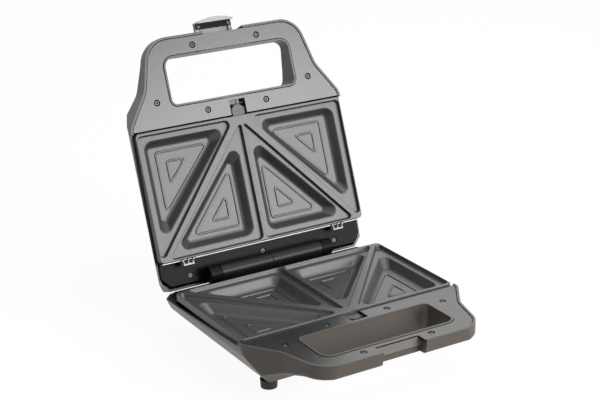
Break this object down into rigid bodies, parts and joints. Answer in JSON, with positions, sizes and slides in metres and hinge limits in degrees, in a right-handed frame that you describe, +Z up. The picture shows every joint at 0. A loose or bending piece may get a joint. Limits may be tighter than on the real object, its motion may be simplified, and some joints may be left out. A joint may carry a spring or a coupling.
{
  "type": "sandwich toaster",
  "caption": "Countertop sandwich toaster: hinged clamshell with carrying handles, removable plates with triangular pockets, a swinging latch clip and sliding plate catches, shown open.",
  "frame": {"origin": "middle of the bounding box of the open toaster, on the plane of the feet", "axes": "+X to the right as seen from the front, +Y to the rear where the hinge is, +Z up; the handles and the latch face -Y"},
  "size_m": [0.232, 0.3366, 0.2793],
  "materials": {
    "taupe_shell": "satin metallic paint",
    "black_cover": "satin",
    "nonstick": "dark non-stick coating",
    "polished": "polished",
    "steel": "plain",
    "spring_steel": "plain",
    "heater": "oxidised",
    "silver_latch": "silver-grey satin",
    "grey_catch": "satin",
    "foot_rubber": "matt",
    "bush": "matt",
    "ceramic": "matt",
    "red_lens": "clear tinted",
    "green_lens": "clear tinted"
  },
  "bodies": {
    "base": {"base_shell": "taupe_shell", "base_handle_cover": "black_cover", "base_handle_screws": "steel", "lower_plate": "nonstick", "lower_plate_clips": "spring_steel", "lower_catch_spring": "spring_steel", "lower_reflector": "polished", "lower_reflector_screws": "steel", "lower_element": "heater", "base_rear_cover": "black_cover", "base_rear_screws": "steel", "hinge_pin": "steel", "foot_screws": "steel", "cord_gland": "bush", "terminal_block": "ceramic", "thermostat": "steel", "thermal_fuse": "steel", "foot_front_left": "foot_rubber", "foot_front_right": "foot_rubber", "foot_rear_left": "foot_rubber", "foot_rear_right": "foot_rubber"},
    "lid": {"lid_shell": "taupe_shell", "lid_handle_cover": "black_cover", "lid_handle_screws": "steel", "upper_plate": "nonstick", "upper_plate_clips": "spring_steel", "upper_catch_spring": "spring_steel", "upper_reflector": "polished", "upper_reflector_screws": "steel", "upper_element": "heater", "lid_rear_cover": "black_cover", "lid_rear_screws": "steel", "power_lens": "red_lens", "ready_lens": "green_lens", "lamp_holder": "ceramic", "latch_pin": "steel"},
    "latch": {"latch_clip": "silver_latch"},
    "lower_catch": {"lower_catch": "grey_catch"},
    "upper_catch": {"upper_catch": "grey_catch"}
  },
  "joints": [
    {"name": "lid_hinge", "type": "hinge", "parent": "base", "child": "lid", "pos_m": [0, 0.06153, 0.055], "axis": [1, 0, 0], "range_deg": [0, 110.14]},
    {"name": "latch_hinge", "type": "hinge", "parent": "lid", "child": "latch", "pos_m": [0, 0.14694, 0.25667], "axis": [1, 0, 0], "range_deg": [0, 90]},
    {"name": "lower_catch_slide", "type": "slide", "parent": "base", "child": "lower_catch", "axis": [0, -1, 0], "range_m": [0, 0.0035], "stiffness_N_per_m": 400, "springref_m": -0.004, "deforming": ["lower_catch_spring"]},
    {"name": "upper_catch_slide", "type": "slide", "parent": "lid", "child": "upper_catch", "axis": [0, 0.3443, 0.9389], "range_m": [0, 0.0035], "stiffness_N_per_m": 400, "springref_m": -0.004, "deforming": ["upper_catch_spring"]}
  ]
}
